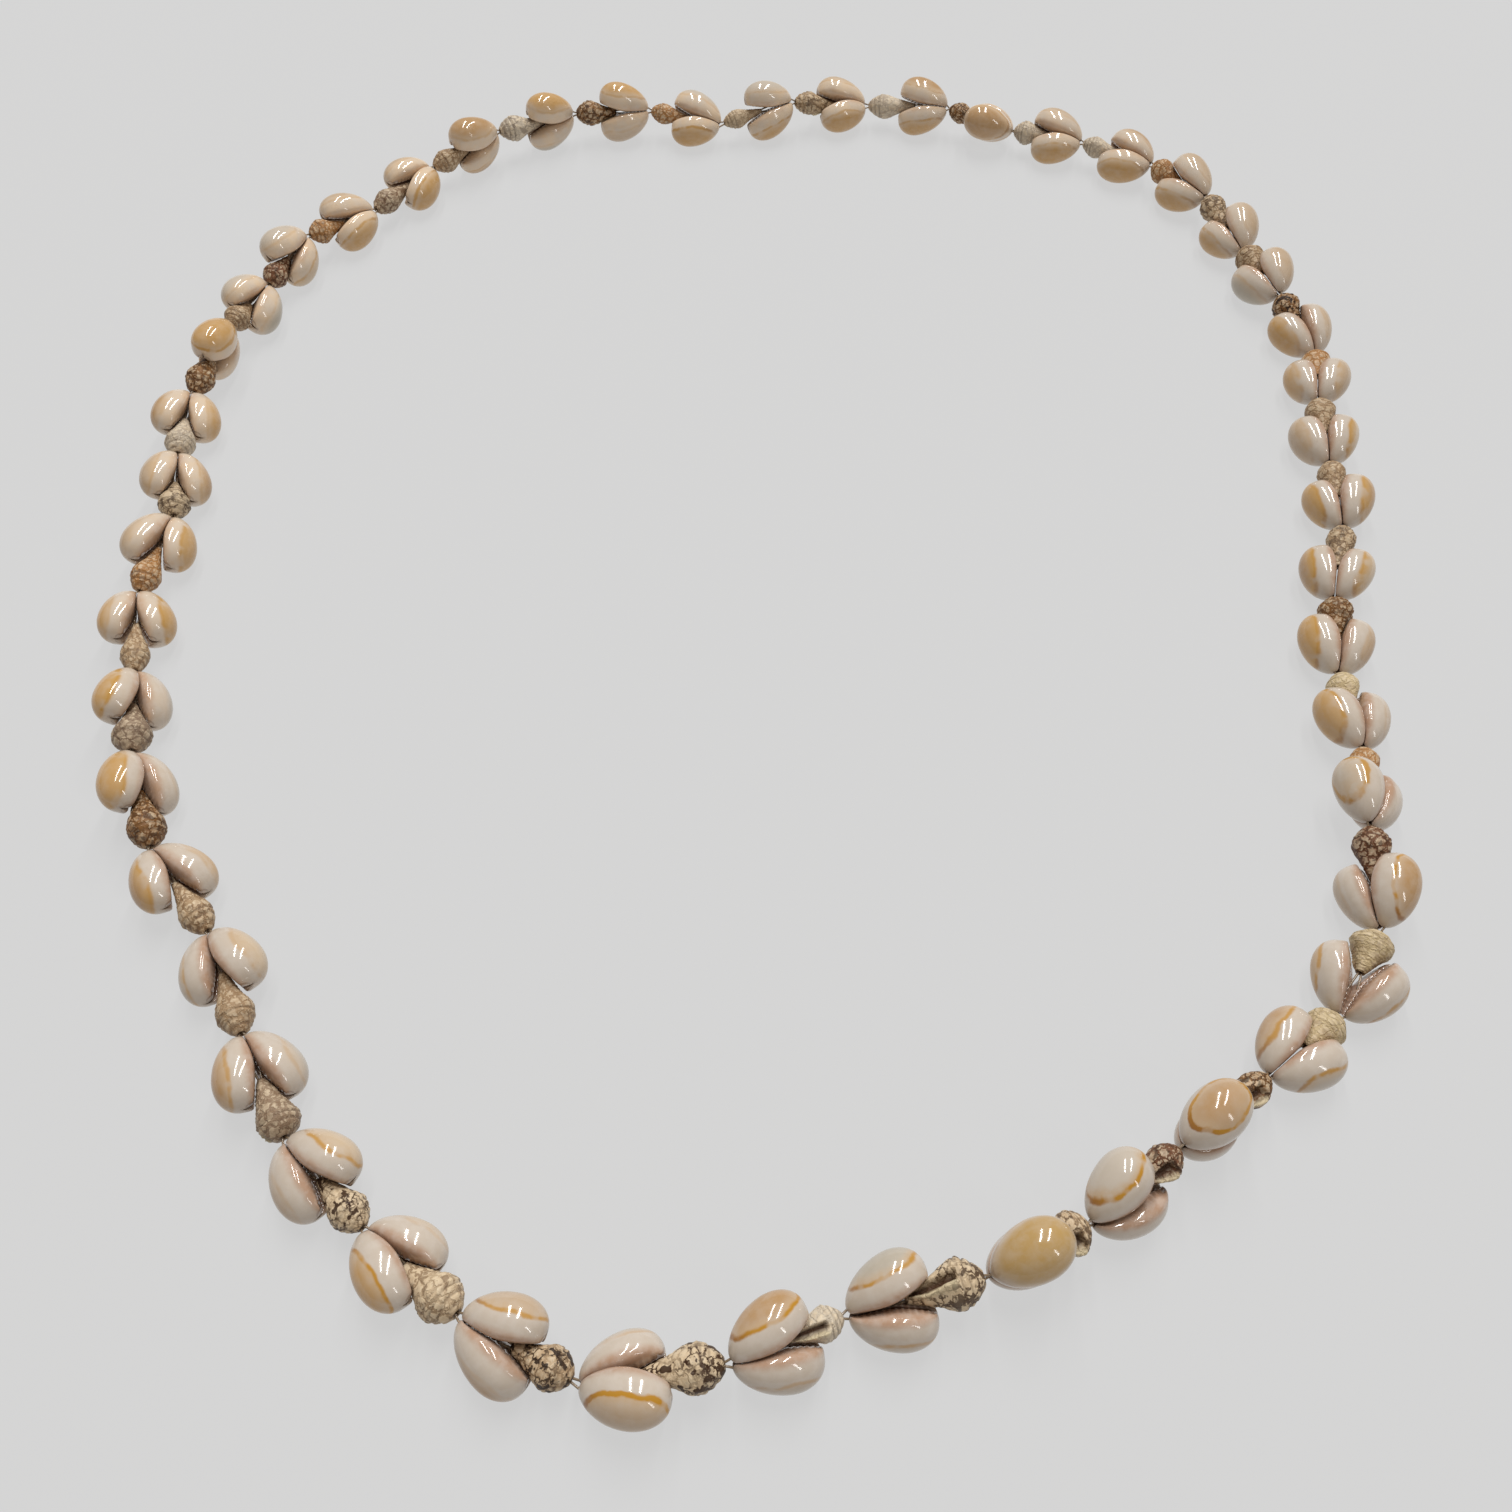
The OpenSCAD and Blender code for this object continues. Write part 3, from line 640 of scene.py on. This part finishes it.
def spiralMesh(name, outline, lumps, knobs, ribs, slot, slotStart, slotEnd, flare, own):
    span, width, length = spiral["mouthSpan"], string["shellWidth"], spiral["length"]
    angles = np.concatenate([
        np.linspace(-span / 2, span / 2, spiral["columnsMouth"], endpoint=False),
        np.linspace(span / 2, 2 * pi - span / 2, spiral["columnsRound"], endpoint=False)])
    xs = np.concatenate([np.linspace(0, 0.24, 7), np.linspace(0.27, 1.0, 31)])
    radius = smoothCurve(spiral[outline], xs)[:, None] + 0 * angles[None, :]
    x, angle = xs[:, None] + 0 * radius, angles[None, :] + 0 * radius
    turn = ((angle - 0.12) % (2 * pi)) / (2 * pi)  # 0 just past the mouth, 1 at its outer lip
    # the last whorl widens towards the lip, and the spire winds in low steps
    body = 1 - ramp(*spiral["spireStart"], x)
    radius *= 1 + spiral["whorlWidening"] * body * (turn - 0.6)
    start, pitch = spiral["whorls"]
    whorl = ((x - start) / pitch + turn) % 1.0
    bulge = np.abs(np.sin(pi * whorl)) ** 0.5
    stepped = (1 - body) * ramp(1.0, 0.93, x)
    radius *= 1 + spiral["whorlStep"] * (bulge - 0.62) * stepped
    # knobs in a row round the shoulder and along the spire, and ribs across the whorl
    start, reach = spiral["knobRow"]
    knobRow = np.exp(-((x - start + spiral["slant"] * turn) / reach) ** 2) + 0.7 * bulge ** 3 * stepped
    radius += knobs * knobRow * np.clip(0.5 + 0.5 * np.cos(spiral["knobsRound"] * angle), 0, 1) ** 1.3
    rib = np.cos(2 * pi * (x + spiral["slant"] * turn) / spiral["ribPitch"])
    radius += ribs * rib * ramp(0.1, 0.2, x)
    # lumps: cells with furrows between them
    high, uneven = np.zeros(x.shape), np.zeros(x.shape)
    for at in np.ndindex(*x.shape):
        spot = Vector((length * x[at], width * radius[at] * sin(angle[at]),
                       width * radius[at] * cos(angle[at])))
        near = noise.voronoi(spiral["cellScale"] * spot + Vector((own, own, 0)))[0]
        high[at] = min(1, (near[1] - near[0]) / spiral["furrowWidth"])
        uneven[at] = noise.noise(spiral["unevenScale"] * spot + Vector((0, own, own)))
    ends = ramp(0, 0.08, x) * ramp(1.0, 0.95, x)
    radius += lumps * (high - 0.5) * ends + spiral["unevenness"] * uneven * ends * radius / 0.5
    # the mouth: a groove with a flared outer lip and a smooth inner one
    shape = ramp(slotStart, slotStart + 0.10, x) * ramp(slotEnd, slotEnd - 0.10, x)
    halfSlot = (0.6 * slot + slot * ramp(slotStart, slotStart + 0.3, x)) / radius
    off = (angle + pi) % (2 * pi) - pi
    inSlot = np.clip(shape * np.clip(1.25 - (np.abs(off) / halfSlot) ** 2, 0, 1), 0, 1)
    fromLip = -halfSlot - off + 0.02
    lip = shape * np.where(fromLip > -0.02, np.exp(-(fromLip / spiral["lipReach"]) ** 2), 0)
    radius += flare * lip
    radius *= 1 - spiral["mouthDepth"] * inSlot
    rows = np.stack([x, radius * np.sin(angle), radius * np.cos(angle)], axis=-1)
    pole = spiral["poleRadius"]
    small = np.stack([0 * angles, pole * np.sin(angles), pole * np.cos(angles)], axis=-1)
    rows = np.concatenate([[small + (0.012, 0, 0)], rows, [small + (0.992, 0, 0)]])
    mesh = meshFromRows(name, rows, (0.05, 0, 0), (0.95, 0, 0))
    places = np.array([v.co for v in mesh.vertices]) * np.array([length, width, width])
    setAttribute(mesh, "shellPlace", "FLOAT_VECTOR", places)
    edge = np.zeros((1, len(angles)))
    # painted shade along the sutures between the whorls, and inside the mouth
    suture = 0.55 * np.clip(1 - 4 * np.minimum(whorl, 1 - whorl), 0, 1) * stepped
    raised = 1 - np.clip(lumps / 0.025, 0, 1) * (1 - high)
    for layer, values, rim in (
            ("raised", raised, 1), ("hollowShade", np.maximum(inSlot, suture), 1), ("lip", lip, 0)):
        ringed = np.vstack([edge + rim, values, edge + rim]).ravel()
        setAttribute(mesh, layer, "FLOAT", np.concatenate([[rim], ringed, [rim]]))
    return mesh


def dryDoveShell():
    # weathered dove shell: dull lime, cream on the worn lumps, brown skin left in the furrows
    material, tree, shader = newMaterial("dryDoveShell", spiral["roughness"], spiral["ior"])
    shader.inputs["Specular IOR Level"].default_value = spiral["specular"]
    add = partial(addNode, tree)
    place, moved = ownPlace(tree)
    own = {name: add("ShaderNodeAttribute", attribute_name=name).outputs["Fac"]
           for name in ("raised", "hollowShade", "lip", "marks", "ribs")}
    ground, mark = [add("ShaderNodeAttribute", attribute_name=name).outputs["Color"]
                    for name in ("groundTint", "markTint")]
    reads = {name: add("ShaderNodeTexNoise", {"Vector": moved, "Scale": scale, "Detail": detail,
                                              "Roughness": rough})
             for name, (scale, detail, rough) in spiral["patterns"].items()}
    bent = add("ShaderNodeVectorMath", (reads["bend"].outputs["Color"], spiral["bendBy"], moved),
               operation="MULTIPLY_ADD")
    reads["cells"] = add("ShaderNodeTexVoronoi", {"Vector": bent, "Scale": spiral["cells"]},
                         feature="DISTANCE_TO_EDGE")
    reads["raised"] = own["raised"]
    masks = {name: add("ShaderNodeMapRange", (reads[source], *span), interpolation_type="SMOOTHSTEP")
             for name, (source, *span) in spiral["masks"].items()}
    # lumps stand out of the furrows, which keep their brown skin in patches
    crest = add("ShaderNodeMath", (masks["cells"], masks["raised"]), operation="MULTIPLY")
    grooves = add("ShaderNodeTexWave", {"Vector": place, **spiral["grooves"]},
                  wave_type="BANDS", bands_direction="X").outputs["Fac"]
    ribbing = add("ShaderNodeMath", (grooves, own["ribs"]), operation="MULTIPLY")
    furrow = add("ShaderNodeMapRange", (crest, *spiral["furrowDark"]), interpolation_type="SMOOTHSTEP")
    pale = add("ShaderNodeMapRange", (crest, *spiral["crestPale"]), interpolation_type="SMOOTHSTEP")
    stain = add("ShaderNodeMapRange", (ribbing, *spiral["ribStain"]), interpolation_type="SMOOTHSTEP")
    skin = add("ShaderNodeMath", (masks["patches"], spiral["patchShare"], 1 - spiral["patchShare"]),
               operation="MULTIPLY_ADD")
    furrow = add("ShaderNodeMath", (furrow, skin), operation="MULTIPLY")
    specks = add("ShaderNodeMath", (masks["flecks"], masks["patches"]), operation="MULTIPLY")
    spots = add("ShaderNodeMath", (masks["blots"], specks), operation="MAXIMUM")
    marked = add("ShaderNodeMath", (furrow, spots), operation="MAXIMUM")
    marked = add("ShaderNodeMath", (marked, own["marks"]), operation="MULTIPLY")
    stain = add("ShaderNodeMath", (stain, own["ribs"]), operation="MULTIPLY")
    lip = add("ShaderNodeMath", (own["lip"], spiral["lipStrength"]), operation="MULTIPLY")
    worn = add("ShaderNodeMix", {0: masks["paling"], 6: ground, 7: hexColour(spiral["worn"])},
               data_type="RGBA")
    colour = ground
    # the last mix is painted shade inside the mouth and along the sutures
    for share, over in ((pale, worn), (stain, mark), (marked, mark), (lip, hexColour(spiral["lip"])),
                        (own["hollowShade"], hexColour(spiral["hollowShade"]))):
        colour = add("ShaderNodeMix", {0: share, 6: colour, 7: over}, data_type="RGBA")
    relief = add("ShaderNodeMath", (reads["flecks"], spiral["fleckRelief"], crest), operation="MULTIPLY_ADD")
    relief = add("ShaderNodeMath", (ribbing, spiral["ribRelief"], relief), operation="MULTIPLY_ADD")
    bump = add("ShaderNodeBump", {"Height": relief, "Distance": spiral["reliefHeight"] * mm,
                                  "Strength": spiral["reliefStrength"]})
    tree.links.new(colour.outputs["Result"], shader.inputs["Base Color"])
    tree.links.new(bump.outputs["Normal"], shader.inputs["Normal"])
    return material


def strungSpirals(name):
    forms = list(spiral["variants"])
    masters = mastersCollection(name + "Master", [
        spiralMesh(f"{name}Mesh{k}", *spiral["variants"][form]) for k, form in enumerate(forms)])
    source = pointObject(name + "Points", [mm * p["front"] for p in pairs])
    facing, shapes, grounds, marks, marked, ribbed = zip(*spiral["looks"])
    turns = []
    for p, degrees in zip(pairs, facing):
        flat = p["lineWay"].cross(Vector((0, 0, 1))).normalized()  # level, to the right of the string
        above = flat.cross(p["lineWay"])
        turns.append(eulerOf(p["lineWay"], cos(radians(degrees)) * above + sin(radians(degrees)) * flat))
    step, first = spiral["ownShift"]
    for layer, kind, values in (
            ("turn", "FLOAT_VECTOR", turns),
            ("spread", "FLOAT_VECTOR", [[p["shellLength"], p["shellWidth"], p["shellWidth"]] for p in pairs]),
            ("kind", "INT", [forms.index(shape) for shape in shapes]),
            ("groundTint", "FLOAT_COLOR", [hexColour(spiral["tones"][tone]) for tone in grounds]),
            ("markTint", "FLOAT_COLOR", [hexColour(spiral["tones"][tone]) for tone in marks]),
            ("marks", "FLOAT", marked),
            ("ribs", "FLOAT", ribbed),
            ("shellSeed", "FLOAT", [step * i + first for i in range(pairCount)])):
        setAttribute(source.data, layer, kind, values)
    piece = finishPiece(name, source, strungShells, {
        "Masters": masters, "Unit length": mm, "Material": doveShell}, ("turn", "spread", "kind"))
    dropCollection(masters)
    return piece


doveShell = dryDoveShell()
smallShells = strungSpirals("smallShells")
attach(smallShells, "root")
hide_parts("small_shells")
print("small shells strung:", len(smallShells.data.polygons), "faces")

thread = {
    "width": 0.5, "sides": 8,                       # mm
    "boreHeight": 0.05, "slitStart": 0.13,          # shares of the cowrie length
    "strandOffset": 0.35,                           # mm from the middle of a small shell
    "boreStart": 0.1, "boreEnd": 0.5, "lead": 0.3,  # mm before and past a cowrie's bore, before a small shell
    # both tones brown: painted shade of the joints, lighter where cloudy
    "clear": "#9C866B", "cloudy": "#B29C82",
    "clouds": 260.0, "cloudRange": (0.35, 0.7, 0, 1),  # per metre: lengths of about 4 mm
    "roughness": 0.22, "ior": 1.53, "transmission": 0.45,
}


def clearNylon():
    # clear nylon monofilament, drawn: glassy, tinted brown all along as painted shade of the joints, slightly
    # cloudy where it is handled
    material, tree, shader = newMaterial("clearNylon", thread["roughness"], thread["ior"])
    shader.inputs["Transmission Weight"].default_value = thread["transmission"]
    place = addNode(tree, "ShaderNodeTexCoord").outputs["Object"]
    cloud = addNode(tree, "ShaderNodeTexNoise", {"Vector": place, "Scale": thread["clouds"], "Detail": 2.0})
    share = addNode(tree, "ShaderNodeMapRange", (cloud, *thread["cloudRange"]),
                    interpolation_type="SMOOTHSTEP")
    colour = addNode(tree, "ShaderNodeMix", {
        0: share, 6: hexColour(thread["clear"]), 7: hexColour(thread["cloudy"])}, data_type="RGBA")
    tree.links.new(colour.outputs["Result"], shader.inputs["Base Color"])
    return material


def strandTree():
    # a round strand along each line of edges
    tree, given = geometryTree("strandRound", {
        "Line": "Geometry", "Radius": "Float", "Sides": "Int", "Material": "Material"}, "Strand")
    curve = addNode(tree, "GeometryNodeMeshToCurve", {"Mesh": given["Line"]})
    section = addNode(tree, "GeometryNodeCurvePrimitiveCircle", {
        "Resolution": given["Sides"], "Radius": given["Radius"]})
    tube = addNode(tree, "GeometryNodeCurveToMesh", {"Curve": curve, "Profile Curve": section})
    real = addNode(tree, "GeometryNodeRealizeInstances", {"Geometry": tube})
    smooth = addNode(tree, "GeometryNodeSetShadeSmooth", {"Geometry": real})
    worn = addNode(tree, "GeometryNodeSetMaterial", {"Geometry": smooth, "Material": given["Material"]})
    addNode(tree, "NodeGroupOutput", {"Strand": worn})
    return tree


def strandPoints(side):
    length, turn, points = string["cowrieLength"], 1, []
    for i, p in enumerate(pairs):
        if i and p["normal"].dot(pairs[i - 1]["normal"]) < 0:
            turn = -turn  # each strand takes the cowrie nearer to the side it had before
        n, a, w = side * turn * p["normal"], splayOf(i), p["lineWay"]
        along, out = cos(a) * p["way"] + sin(a) * n, cos(a) * n - sin(a) * p["way"]
        bore = p["joint"] + thread["boreHeight"] * length * out
        middle = p["front"] + thread["strandOffset"] * (n - n.dot(w) * w).normalized()
        points += [bore + thread["boreStart"] * along,
                   bore + (thread["slitStart"] * length + thread["boreEnd"]) * along,
                   middle - thread["lead"] * w, middle + p["shellLength"] * w]
    return [mm * p for p in points]


strands = [strandPoints(1), strandPoints(-1)]
count = len(strands[0])
edges = [(s * count + k, s * count + (k + 1) % count) for s in range(2) for k in range(count)]
threadPiece = finishPiece(
    "nylonThread", pointObject("threadLine", strands[0] + strands[1], edges), strandTree(),
    {"Radius": thread["width"] * mm / 2, "Sides": thread["sides"], "Material": clearNylon()})
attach(threadPiece, "root")
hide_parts("thread")
print("thread run through:", len(threadPiece.data.polygons), "faces")

stageSet = {
    "floorSize": 3.0, "sheet": "#515151", "glow": 0.574,
    "roughness": 0.9, "ior": 1.49, "specular": 0.0,
    "sky": "#FFF4E8", "skyStrength": 0.25,
    "lampReach": 6.0,
    "lamps": {  # degrees round from +Y towards +X, degrees up, metres aside, width, height, watts
        "stripLeft": (6, 62, -1.1, 0.34, 5.2, 200), "stripRight": (6, 62, 1.1, 0.34, 5.2, 200),
        "stripFront": (131, 38, 0, 0.34, 2.6, 34)},
    "eye": (-0.00092, -0.26194, 0.2805), "down": 54.55,  # metres, degrees below level
    "lens": 34.67, "sensor": 36,
}


def opalSheet():
    # matt opal sheet lit a little from below, cast and sanded: pale, even, hardly shadowed
    material, tree, shader = newMaterial("opalSheet", stageSet["roughness"], stageSet["ior"])
    shader.inputs["Base Color"].default_value = hexColour(stageSet["sheet"])
    shader.inputs["Specular IOR Level"].default_value = stageSet["specular"]
    shader.inputs["Emission Color"].default_value = (1, 1, 1, 1)
    shader.inputs["Emission Strength"].default_value = stageSet["glow"]
    return material


def areaLight(name, around, height, aside, wide, tall, power):
    # a far lamp that faces the necklace, moved aside square to its beam
    reach, around, height = stageSet["lampReach"], radians(around), radians(height)
    spot = reach * Vector((cos(height) * sin(around), cos(height) * cos(around), sin(height)))
    light = bpy.data.lights.new(name, "AREA")
    light.shape = "RECTANGLE"
    light.size = wide
    light.size_y = tall
    light.energy = power
    lamp = bpy.data.objects.new(name, light)
    lamp.location = spot + aside * Vector((cos(around), -sin(around), 0))
    lamp.rotation_euler = (-spot).to_track_quat("-Z", "Y").to_euler()
    bpy.context.scene.collection.objects.link(lamp)


half = stageSet["floorSize"] / 2
floorMesh = bpy.data.meshes.new("floor")
corners = [(-half, -half, 0), (half, -half, 0), (half, half, 0), (-half, half, 0)]
floorMesh.from_pydata(corners, [], [(0, 1, 2, 3)])
floorMesh.materials.append(opalSheet())
floor = bpy.data.objects.new("floor", floorMesh)
bpy.context.scene.collection.objects.link(floor)

world = bpy.data.worlds.new("studio")
world.use_nodes = True
sky = world.node_tree.nodes["Background"]
sky.inputs["Color"].default_value = hexColour(stageSet["sky"])
sky.inputs["Strength"].default_value = stageSet["skyStrength"]
bpy.context.scene.world = world
for lampName, values in stageSet["lamps"].items():
    areaLight(lampName, *values)

cameraData = bpy.data.cameras.new("camera")
cameraData.lens = stageSet["lens"]
cameraData.sensor_width = stageSet["sensor"]
camera = bpy.data.objects.new("camera", cameraData)
camera.location = stageSet["eye"]
camera.rotation_euler = (radians(90 - stageSet["down"]), 0, 0)
bpy.context.scene.collection.objects.link(camera)
bpy.context.scene.camera = camera
bpy.context.scene.view_settings.view_transform = "Standard"
print("stage set: floor, sky,", len(stageSet["lamps"]), "lamps and camera")
